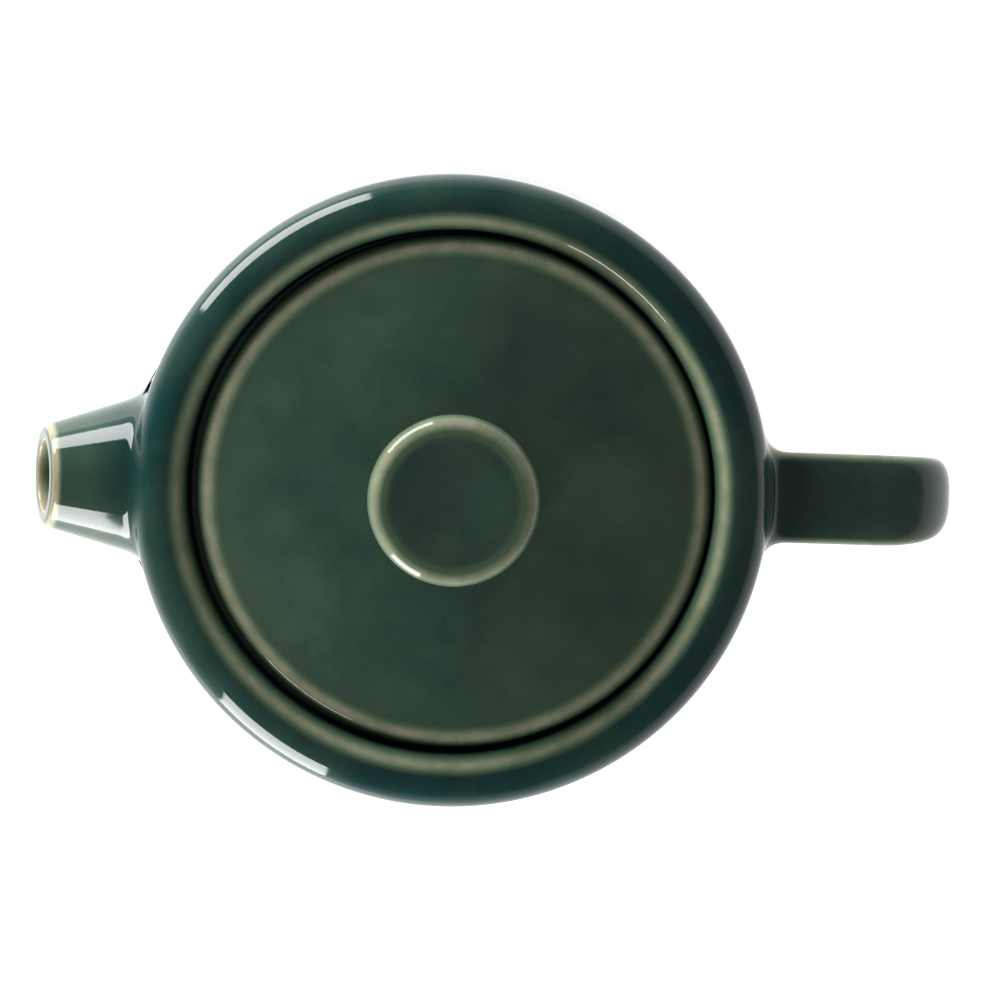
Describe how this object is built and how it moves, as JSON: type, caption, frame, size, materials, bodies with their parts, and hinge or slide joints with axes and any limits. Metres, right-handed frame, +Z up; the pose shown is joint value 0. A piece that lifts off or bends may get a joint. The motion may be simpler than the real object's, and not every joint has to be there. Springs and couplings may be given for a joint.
{
  "type": "teapot",
  "caption": "Glazed stoneware teapot with a rolled rim, an inset lid with a round knob, a short conical spout and a strap handle, for brewing and pouring tea.",
  "frame": {"origin": "centre of the foot ring, on the surface the pot stands on, which is on the axis of the body and the lid", "axes": "+Z is up along the body's axis, -X points to the spout and +X to the handle"},
  "size_m": [0.2333, 0.16, 0.1187],
  "materials": {
    "green_glaze": "gloss",
    "bare_stoneware": "matte"
  },
  "bodies": {
    "pot": {"base": "green_glaze", "belly": "green_glaze", "pot_body": "green_glaze", "rim": "green_glaze", "strainer": "green_glaze", "spout": "green_glaze", "handle": "green_glaze"},
    "cover": {"lid": "green_glaze", "lid_flange": "bare_stoneware", "knob": "green_glaze"}
  },
  "joints": [
    {"name": "lid_lift", "type": "slide", "parent": "pot", "child": "cover", "axis": [0, 0, 1], "range_m": [0, 0.06]}
  ]
}
